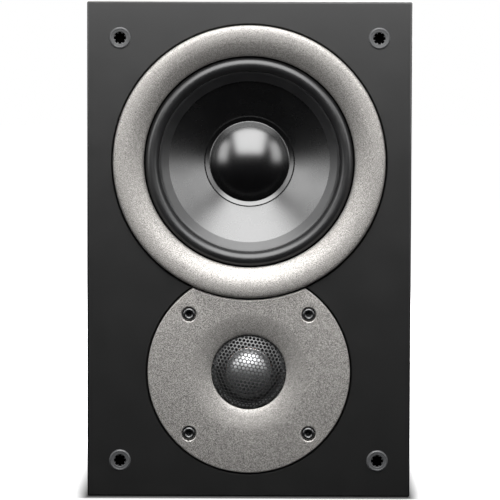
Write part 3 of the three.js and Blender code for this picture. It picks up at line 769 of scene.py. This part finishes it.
def wrap_outline(start, end, inset):
    """One board of the wrap, in the XZ plane, from the mitre at one corner to the mitre at the next."""
    radius = CORNER - inset
    points = []
    for (sx, sz, turn), first_half in ((CORNERS[start], False), (CORNERS[end], True)):
        x, z = sx * (HALF - CORNER), (TOP - CORNER if sz > 0 else CORNER)
        swept = (turn, turn + 45) if first_half else (turn + 45, turn + 90)
        folded = arc(x, z, radius, *swept, 3)
        within = (sx * (HALF - WALL + inset), (TOP - WALL + inset if sz > 0 else WALL - inset))
        points += [*folded, within] if first_half else [within, *folded]
    return points


def wrap_board(node, start, end, material):
    low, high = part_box(node)
    softened = 0.5  # radius of the front and rear edges
    sections = []
    for k in range(4):
        angle = math.radians(30 * k)
        sections.append((softened * (1 - math.sin(angle)), softened * (1 - math.cos(angle))))
    places = [(inset, low.y / MM + away) for inset, away in sections]
    places += [(inset, high.y / MM - away) for inset, away in reversed(sections)]
    rows = [[Vector((x, y, z)) * MM for x, z in wrap_outline(start, end, inset)] for inset, y in places]
    dress(flat_shaded(tidy(lofted(node + "_body", rows))), node, material)


CUP_Z = middle("terminal_cup").z / MM
PORT_AXIS = Vector((0, BACK_FACE * MM, middle("port_tube").z))


def back_panel():
    low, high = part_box("back_panel")
    board = bevelled(block("back_board", low, high), 0.4)
    cup_hole = tile("cutter", 71, 53, 6, CUP_Z, low.y / MM - 1, high.y / MM + 1)
    boolean(board, cup_hole, drill(PORT_AXIS, 25.5, -14, 2, MEDIUM))
    dress(tidy(board, 30), "back_panel", ASH_UPRIGHT)


# ---- port, cup and posts
def port_tube():
    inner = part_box("port_tube")[0].y / MM - BACK_FACE
    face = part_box("port_tube")[1].y / MM - BACK_FACE
    flare = smooth([(radius, face - sunk) for radius, sunk in (
        (18.5, 14), (18.8, 9.5), (19.9, 5.6), (21.9, 2.9), (24.6, 0.9), (27.4, 0),
    )])
    rim = arc(28.3, face - 1.2, 1.2, 90, 0, 6)
    outline = [
        (18.5, inner + 0.5), *flare, *rim, (29.5, 0.05), (25.1, 0.05), (25.1, -1.5), (20.5, -9),
        (20.5, inner + 0.5), (20, inner), (19, inner),
    ]
    dress(turned("port", outline, PORT_AXIS), "port_tube", PORT_PLASTIC)


def terminal_cup():
    low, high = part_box("terminal_cup")
    plate_front, face = BACK_FACE + 0.05, high.y / MM
    floor_y = face - 18
    plate = tile("cup", 96, 76, 7, CUP_Z, plate_front, face)
    tub = tile("tub", 70, 52, 6, CUP_Z, low.y / MM, face)
    recess = tile("cutter", 66, 48, 4, CUP_Z, floor_y, face + 1)
    moat = tile("moat", 72, 54, 7, CUP_Z, face - 0.45, face + 1)
    island = tile("island", 70.4, 52.4, 6.2, CUP_Z, face - 0.6, face + 2)
    boolean(moat, island)
    boolean(plate, tub, operation="UNION")
    holes = []
    for corner in DIAGONALS:
        holes.append(drill(on_axis("terminal_cup_screw_" + corner, face * MM), 2.05, -4, 1))
    for colour in ("red", "black"):
        holes.append(drill(on_axis(colour + "_post_stud", floor_y * MM), 2.6, -4, 1))
    boolean(plate, recess, moat, *holes)
    dress(bevelled(tidy(plate), 0.6, 3, 50), "terminal_cup", CUP_PLASTIC)


def cross_head(name, head, height, shank, length):
    """A domed head with a tapered cross recess, head towards -Y, its underside at the origin."""
    quarter = [math.pi / 2 * k / 8 for k in range(9)]
    dome = [(head * math.sin(a), -height * (0.35 + 0.65 * math.cos(a))) for a in quarter]
    threads = []
    pitch = 1.2
    for k in range(int((length - 4) / pitch)):
        threads += [(shank, 1.5 + k * pitch), (shank - 0.35, 1.5 + (k + 0.5) * pitch)]
    outline = [*dome, (head, -0.15), (head - 0.15, 0), (shank, 0), *threads]
    outline += [(shank, length - 2.5), (0.2, length), (0, length)]
    body = turned(name, outline, Vector((0, 0, 0)), SMALL)
    cutters = []
    for turn in (0, math.pi / 2):
        blade = piece("cutter", [
            (sx * (head * (0.58 if d < 0 else 0.2)) * MM, d * MM, sz * (0.5 if d < 0 else 0.3) * MM)
            for d in (-height - 1, 0.2) for sx, sz in ((-1, -1), (1, -1), (1, 1), (-1, 1))
        ], [(0, 1, 2, 3), (4, 5, 6, 7), (0, 1, 5, 4), (1, 2, 6, 5), (2, 3, 7, 6), (3, 0, 4, 7)])
        blade.data.transform(Matrix.Rotation(turn, 4, "Y"))
        cutters.append(tidy(blade))
    return tidy(boolean(body, *cutters), 32)


def cross_screws():
    for corner in DIAGONALS:
        node = "woofer_screw_" + corner
        height = 1.7
        screw = cross_head(node + "_body", 3.1, height, 1.8, 13)
        screw.data.transform(Matrix.Translation(on_axis(node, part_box(node)[0].y + height * MM)))
        dress(screw, node, BLACK_STEEL)
        node = "terminal_cup_screw_" + corner
        height = 1.9
        screw = cross_head(node + "_body", 3.2, height, 1.7, 12)
        seat = Matrix.Translation(on_axis(node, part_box(node)[1].y - height * MM))
        screw.data.transform(seat @ Matrix.Rotation(math.pi, 4, "X"))
        dress(screw, node, BLACK_STEEL)


def threaded(radius, y0, y1, pitch=1.0, depth=0.3):
    """The (radius, depth) points of a thread's ridges between two depths."""
    points = []
    count = round((y1 - y0) / pitch)
    for k in range(count):
        points += [(radius - depth, y0 + k * pitch), (radius, y0 + (k + 0.5) * pitch)]
    return [*points, (radius - depth, y1)]


def binding_posts():
    for colour, plastic in (("red", RED_PLASTIC), ("black", KNOB_BLACK)):
        axis = on_axis(colour + "_post_stud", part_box(colour + "_post_stud")[0].y)
        seat = 9.05  # from the tail's end to the cup's floor
        base = seat + 1.9
        top = base + 16
        stud = turned(colour + "_stud", [
            (0, 0), (1.9, 0), *threaded(2.2, 0.4, seat - 1), (2.2, seat), (5.5, seat), (5.8, seat + 0.3),
            (5.8, base - 0.3), (5.5, base), (3.1, base), (3.1, base + 4.2),
            *threaded(3.2, base + 4.4, top - 0.6), (2.9, top), (2.25, top), (2.05, top - 0.2),
            (2.05, base + 4), (0, base + 4),
        ], axis, SMALL)
        cross_hole = drill(Vector((0, 0, 0)), 1.1, -5, 5, 24)
        upright = Matrix.Rotation(math.pi / 2, 4, "X")
        cross_hole.data.transform(Matrix.Translation(axis + Vector((0, (base + 2.3) * MM, 0))) @ upright)
        boolean(stud, cross_hole)
        dress(tidy(stud), colour + "_post_stud", GOLD)

        place = Vector((axis.x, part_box(colour + "_post_washer")[0].y, axis.z))
        washer = turned(colour + "_washer", flat_ring(3.5, 5.6, 0, 1.2, 0.2, 0.25), place, SMALL)
        dress(washer, colour + "_post_washer", GOLD)

        place = Vector((axis.x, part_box(colour + "_post_knob")[0].y, axis.z))
        dress(knob(colour + "_knob", place), colour + "_post_knob", plastic)


def knob(name, start):
    """A moulded knob with a plain collar, twelve scooped flutes and a hole for a plug in its end."""
    flutes, scoop, length, outer = 12, 0.55, 17.0, 6.2
    body = [(outer, 3.6 + (length - 5.2) * k / 12) for k in range(13)]
    outline = [
        (3.5, 0), (5.5, 0), (6.0, 0.25), (outer, 0.8), (outer, 2.3), (6.0, 2.7), (5.75, 2.95), (6.0, 3.2),
        *body, (6.1, length - 1.1), (5.8, length - 0.55), (5.3, length - 0.15), (4.6, length), (2.9, length),
        (2.45, length - 0.4), (2.35, length - 0.9), (2.35, length - 2), (3.5, length - 2),
    ]

    def scooped(angle, radius, depth):
        if radius < 5.9 or depth < 3.1:
            return radius, depth
        ends = min(1, (depth - 3.2) / 1.4, (length - 0.4 - depth) / 1.2)
        return radius - scoop * max(0, ends) * (0.5 + 0.5 * math.cos(flutes * angle)) ** 0.8, depth

    return turned(name, outline, start, flutes * 12, scooped)


# ---- inside the woofer
def flange_holes():
    """Cutters for the four screw holes of the basket and its gasket."""
    offset = 47.02
    places = [Vector((sx * offset, 0, sz * offset)) for sx, sz in ((-1, 1), (1, 1), (-1, -1), (1, -1))]
    return [drill(DRIVER + place * MM, 2.05, 0, 8, 24) for place in places]


def basket():
    path = [
        (69.3, 4), (60.5, 4), *arc(59.6, 5.4, 1.4, 270, 190, 5), (57.6, 12), (39.8, 34),
        *arc(37.6, 33.6, 2, 40, 90, 4), (32.6, 36.1), (31.5, 37.2), (31.4, 40.2), (30.6, 41.3), (17, 41.3),
    ]
    frame_body = turned("basket", sheet_outline(path, 1.2), DRIVER)
    cutters = flange_holes()
    windows = 6
    for k in range(windows):
        window = tile("cutter", 26, 30, 5, 49, 15, 34)
        spin = Matrix.Rotation(2 * math.pi * (k + 0.5) / windows, 4, "Y")
        window.data.transform(Matrix.Translation(DRIVER) @ spin)
        cutters.append(window)
    boolean(frame_body, *cutters)
    dress(tidy(frame_body, 35), "woofer_basket", BLACK_STEEL)


def gasket():
    ring = turned("gasket", [(60.3, 4.66), (69.2, 4.66), (69.2, 4.95), (60.3, 4.95)], DRIVER)
    boolean(ring, *flange_holes())
    dress(tidy(ring), "woofer_gasket", FOAM)


def wound(inner, outer, y0, y1, wire):
    """The outline of a winding whose outer face shows its turns."""
    turns = max(1, round((y1 - y0) / wire))
    step = (y1 - y0) / turns
    face = []
    for k in range(turns):
        face += arc(outer - step / 2, y0 + (k + 0.5) * step, step / 2, -80, 80, 4)
    return [(inner, y0), *face, (inner, y1)]


def spider():
    across = [16.4 + 0.4 * k for k in range(37)]
    waves = [(r, 35.05 - 0.9 * math.cos(math.pi * (r - 16.4) / 2.4)) for r in across]
    path = [(13.2, 35.05), (14.6, 34.9), *waves, (32.0, 34.9), (33.2, 35.05), (36.4, 35.05)]
    made = turned("spider", sheet_outline(path, 0.5), DRIVER)
    made.data.materials.append(SPIDER)
    hang(made, "woofer_spider", DRIVER, 32.0, 15.0)


def woofer_motor():
    former = filleted([(12.5, 24, 0.05), (12.8, 24, 0.05), (12.8, 51.5), (12.5, 51.5)])
    dress(turned("coil_former", former, DRIVER), "woofer_coil_former", FILM)
    coil = wound(12.85, 13.4, 39.5, 49.5, 0.4)
    dress(turned("voice_coil", coil, DRIVER, MEDIUM), "woofer_voice_coil", COPPER)
    dress(turned("top_plate", flat_ring(13.9, 38, 41.95, 46.95, 0.2, 0.5), DRIVER), "woofer_top_plate", ZINC)
    dress(turned("magnet", flat_ring(20, 42, 47, 62, 0.6, 1.1), DRIVER), "woofer_magnet", FERRITE)
    yoke = filleted([
        (4, 42.35, 0.4), (12.1, 42.35, 0.4), (12.1, 62.05, 0.3), (38, 62.05, 0.5), (38, 67, 1.0),
        (6.2, 67, 0.3), (4, 65, 0.3),
    ])
    dress(turned("pole_yoke", yoke, DRIVER), "woofer_pole_yoke", ZINC)


def tweeter_motor():
    coil = wound(12.45, 12.95, DOME_RIM + 0.5, 16.4, 0.3)
    dress(turned("tweeter_coil", coil, TWEETER, MEDIUM), "tweeter_voice_coil", COPPER)
    plate = filleted([
        (13.4, 10.9, 0.15), (16.5, 10.9), (16.5, 10.5), (34, 10.5, 0.4), (34, 14, 0.4), (13.4, 14, 0.15),
    ])
    dress(turned("tweeter_plate", plate, TWEETER), "tweeter_top_plate", ZINC)
    ferrite = flat_ring(17, 35, 14.05, 24, 0.5, 1.0)
    dress(turned("tweeter_ferrite", ferrite, TWEETER), "tweeter_magnet", FERRITE)
    body = filleted([(11.9, 11.1, 0.4), (11.9, 24.05, 0.3), (34, 24.05, 0.5), (34, 28, 0.9), (3, 28)])
    yoke = [(0, 11.1), *body, (2.4, 27.2), (0, 27.2)]
    dress(turned("tweeter_yoke", yoke, TWEETER), "tweeter_pole_yoke", ZINC)


def terminal_strip(name, place):
    """A phenolic board with two blades, each with a hole and a riveted foot."""
    board = bevelled(tile(name, 18, 9, 1, 0, -0.7, 0.7), 0.15)
    for x in (-2.5, 2.5):
        blade = slab("blade", [(x - 1.1, -0.4), (x + 1.1, -0.4), (x + 1.1, 0.4), (x - 1.1, 0.4)], 0, 8)
        eye = drill(Vector((0, 0, 0)), 0.55, -2, 2, 16)
        eye.data.transform(Matrix.Translation((x * MM, 6.2 * MM, 0)) @ Matrix.Rotation(math.pi / 2, 4, "X"))
        boolean(blade, eye)
        rivet = [(0, -1.1), (1.0, -1.1), (1.3, -0.7), (1.3, 0.9), (0, 0.9)]
        foot = turned("foot", rivet, Vector((x, 0, 0)) * MM, 16)
        boolean(board, blade, foot, operation="UNION")
    board.data.transform(place)
    return tidy(board, 35)


def terminal_strips():
    slope = Matrix.Rotation(-math.atan2(23.6, 19.1), 4, "X")
    place = Matrix.Translation(DRIVER + Vector((0, 24.2, -49.6)) * MM) @ slope
    dress(terminal_strip("woofer_strip", place), "woofer_terminal_strip", GOLD)
    place = Matrix.Translation(TWEETER + Vector((0, 28.8, 0)) * MM)
    dress(terminal_strip("tweeter_strip", place), "tweeter_terminal_strip", GOLD)


# ---- crossover and leads
def inductor(node, inner, outer, height, wire):
    """Round enamelled wire in neat layers: ridges on the outside and rings on the free end."""
    rings = []
    count = round((outer - inner) / wire)
    for k in range(count):
        rings += arc(inner + (k + 0.5) * (outer - inner) / count, -height + wire / 2, wire / 2, 190, 350, 4)
    side = []
    turns = round(height / wire) - 1
    for k in range(turns):
        side += arc(outer - wire / 2, -height + wire * (k + 1.1), wire / 2, -70, 70, 4)
    outline = [*rings, *side, (outer - wire / 2, 0), (inner, 0)]
    foot = on_axis(node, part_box(node)[1].y)
    dress(turned(node + "_body", outline, foot, MEDIUM), node, COPPER)


def crossover():
    low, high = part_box("crossover_board")
    sheet = tile("board", 92, 64, 2, CUP_Z, low.y / MM, high.y / MM)
    tails = [drill(on_axis(colour + "_post_stud", low.y), 2.4, -3, 3, 24) for colour in ("red", "black")]
    boolean(sheet, *tails)
    dress(bevelled(tidy(sheet), 0.15, 1, 50), "crossover_board", BOARD)
    inductor("woofer_inductor", 6, 16.5, 16, 1.0)
    inductor("tweeter_inductor", 4, 11.5, 11, 0.7)

    low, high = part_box("tweeter_capacitor")
    length = (high.x - low.x) / MM
    barrel = turned("capacitor", [
        (0, 0.6), (6.3, 0.6), (6.9, 0), (7.3, 0.15), (7.5, 0.6), (7.5, length - 0.6), (7.3, length - 0.15),
        (6.9, length), (6.3, length - 0.6), (0, length - 0.6),
    ], Vector((0, 0, 0)), MEDIUM)
    lying = Matrix.Rotation(-math.pi / 2, 4, "Z")
    barrel.data.transform(Matrix.Translation((low.x, (low.y + high.y) / 2, (low.z + high.z) / 2)) @ lying)
    dress(tidy(barrel), "tweeter_capacitor", TAPE)

    resistor = bevelled(block("resistor", *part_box("tweeter_resistor")), 0.7, 3)
    dress(resistor, "tweeter_resistor", CEMENT)


# The leads' routes, in mm, as in the CAD.
LEAD_ROUTES = {
    "woofer_lead": [
        (-1, 91.6, 100), (-1, 84, 100), (-10, 60, 92), (-22, 24, 66), (-20, -14, 54), (-12, -44, 68),
        (-4, -62, 94.6), (0, -72.7, 120.5), (0, -82.2, 132.5),
    ],
    "tweeter_lead": [
        (2, 91.6, 50), (2, 84, 50), (18, 56, 30), (28, 14, 18), (24, -26, 22), (12, -48, 44.3),
        (0, -64, 70.5), (0, -76.1, 70.5),
    ],
}


def twin_lead(node):
    """Two insulated cores side by side, moulded together, swept along the lead's route."""
    core = 1.1
    section = arc(core, 0, core, -150, 150, 10) + arc(-core, 0, core, 30, 330, 10)
    route = [Vector(point) for point in smooth(LEAD_ROUTES[node], 10)]
    across = Vector((1, 0, 0))
    rows = []
    for i, point in enumerate(route):
        along = (route[min(i + 1, len(route) - 1)] - route[max(i - 1, 0)]).normalized()
        across = (across - along * across.dot(along)).normalized()
        up = along.cross(across)
        rows.append([(point + across * a + up * b) * MM for a, b in section])
    dress(tidy(lofted(node + "_cores", rows), 60), node, LEAD)


# ---- wadding
def wadding():
    """A mat of polyester wadding: a soft box that a cloth simulation puffs up, then a lumpy face."""
    low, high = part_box("acoustic_wadding")
    inset = Vector((3, 3, 3)) * MM
    mat = block("wadding", low + inset, high - inset)
    modify(mat, "BEVEL", width=5 * MM, segments=4)
    modify(mat, "REMESH", mode="VOXEL", voxel_size=5 * MM)
    applied(mat)
    start = [v.co.copy() for v in mat.data.vertices]
    cloth = modify(mat, "CLOTH").settings
    cloth.use_pressure = True
    cloth.uniform_pressure_force = 4
    cloth.effector_weights.gravity = 0
    for frame_number in range(1, 21):
        bpy.context.scene.frame_set(frame_number)
    applied(mat)
    bpy.context.scene.frame_set(1)
    reach = 2.5 * MM
    for vertex, first in zip(mat.data.vertices, start):
        moved = vertex.co - first
        if moved.length > reach:
            vertex.co = first + moved.normalized() * reach
    modify(mat, "SUBSURF", levels=1)
    applied(mat)
    for vertex in mat.data.vertices:
        lump = noise.noise(vertex.co * 70) * 1.0 + noise.noise(vertex.co * 220) * 0.5
        vertex.co += vertex.normal * lump * MM
        vertex.co.z = min(vertex.co.z, high.z)
    mat.data.shade_smooth()
    dress(mat, "acoustic_wadding", POLYESTER)


# ---- stage and light
def area_light(name, size, place, aim, power, fade):
    """A rectangular softbox whose light fades out over a share of its half width and half height."""
    data = bpy.data.lights.new(name, "AREA")
    data.shape = "RECTANGLE"
    data.size, data.size_y = size
    data.energy = power
    data.use_nodes = True
    tree = data.node_tree
    parametric = shader_node(tree, "NewGeometry").outputs["Parametric"]
    place_on_it = shader_node(tree, "SeparateXYZ", {0: parametric})
    fades = []
    for axis in (0, 1):
        away = calculate(tree, "ABSOLUTE", calculate(tree, "SUBTRACT", place_on_it.outputs[axis], 0.5))
        span = {"Value": away, "From Min": 0.5 * (1 - fade), "From Max": 0.5, "To Min": 1, "To Max": 0}
        fades.append(shader_node(tree, "MapRange", span, interpolation_type="SMOOTHSTEP").outputs["Result"])
    tree.links.new(calculate(tree, "MULTIPLY", *fades), tree.nodes["Emission"].inputs["Strength"])
    made = linked(name, data)
    made.location = place
    made.rotation_euler = (Vector(aim) - Vector(place)).to_track_quat("-Z", "Y").to_euler()
    made.visible_camera = False


def studio():
    """A softbox above the front, a strip on each side, a light behind, and a white backdrop that is
    nearly dark to everything but the camera."""
    area_light("softbox", (1.15, 1.4), (0, -0.627, WOOFER.z + 0.613), (0, -0.12, WOOFER.z), 33.5, 0.45)
    for side, power in ((-1, 6.0), (1, 5.4)):
        area_light(f"strip_{side}", (0.5, 0.9), (side * 0.74, -0.61, 0.48), (0, FRONT, 0.2), power, 0.7)
    area_light("back_light", (1.3, 1.3), (0.35, 1.1, 0.75), (0, 0.1, 0.15), 34, 0.5)
    world = bpy.data.worlds.new("studio")
    world.use_nodes = True
    tree = world.node_tree
    seen = shader_node(tree, "LightPath").outputs["Is Camera Ray"]
    white = tree.nodes["Background"]
    white.inputs["Color"].default_value = (1, 1, 1, 1)
    dim = shader_node(tree, "Background", {"Color": (0.01, 0.01, 0.0103, 1)})
    mix = shader_node(tree, "MixShader", {0: seen, 1: dim.outputs[0], 2: white.outputs[0]})
    tree.links.new(mix.outputs[0], tree.nodes["World Output"].inputs["Surface"])
    bpy.context.scene.world = world
    bpy.context.scene.view_settings.view_transform = "Standard"


def floor():
    """White paper with a painted contact shadow: its colour and glow darken close to the cabinet, by its
    distance past the cabinet's footprint.
    """
    reach = 40
    corners = [(-reach, -reach, 0), (reach, -reach, 0), (reach, reach, 0), (-reach, reach, 0)]
    made = piece("floor", corners, [(0, 1, 2, 3)])
    made.location.z = -0.0002
    paper = Finish("paper", 0.9)
    paper.shader.inputs["Emission Color"].default_value = (1, 1, 1, 1)
    centre = (cad_box[0] + cad_box[1]) / 2
    half = (cad_box[1] - cad_box[0]) / 2
    tree = paper.tree
    place = paper.add("SeparateXYZ", {0: paper.place})
    past = []
    for axis, middle_of_it, reach_of_it in (("X", centre.x, half.x), ("Y", centre.y, half.y)):
        away = calculate(tree, "ABSOLUTE", calculate(tree, "SUBTRACT", place.outputs[axis], middle_of_it))
        outside = calculate(tree, "MAXIMUM", calculate(tree, "SUBTRACT", away, reach_of_it), 0.0)
        past.append(calculate(tree, "POWER", outside, 2.0))
    distance = calculate(tree, "POWER", calculate(tree, "ADD", *past), 0.5)
    shadow_reach = 0.014
    # Painted contact shadow: the paper's colour and glow fall off towards the cabinet's footprint over
    # shadow_reach metres.
    lit = paper.span(distance, 0.0, 1.0, 0.0, shadow_reach)
    paper.colour(lit, (0.0, (0.03, 0.03, 0.03)), (1.0, (0.8, 0.8, 0.8)))
    glow = paper.span(distance, 0.03, 1.0, 0.0, shadow_reach)
    tree.links.new(glow, paper.shader.inputs["Emission Strength"])
    made.data.materials.append(paper.material)
    made.visible_glossy = False
    made.visible_diffuse = False


# ---- assembly
camera()
front_baffle()
trim_ring()
surround()
cone()
dust_cap()
faceplate()
mesh_guard()
tweeter_dome()
tweeter_surround()
tweeter_screws()
for corner in DIAGONALS:
    grille_socket(corner)
wrap_board("bottom_panel", 0, 1, ASH_ACROSS)
wrap_board("right_side_panel", 1, 2, ASH_UPRIGHT)
wrap_board("top_panel", 2, 3, ASH_ACROSS)
wrap_board("left_side_panel", 3, 0, ASH_UPRIGHT)
back_panel()
port_tube()
terminal_cup()
cross_screws()
binding_posts()
basket()
gasket()
spider()
woofer_motor()
tweeter_motor()
terminal_strips()
crossover()
for lead in LEAD_ROUTES:
    twin_lead(lead)
wadding()
studio()
floor()
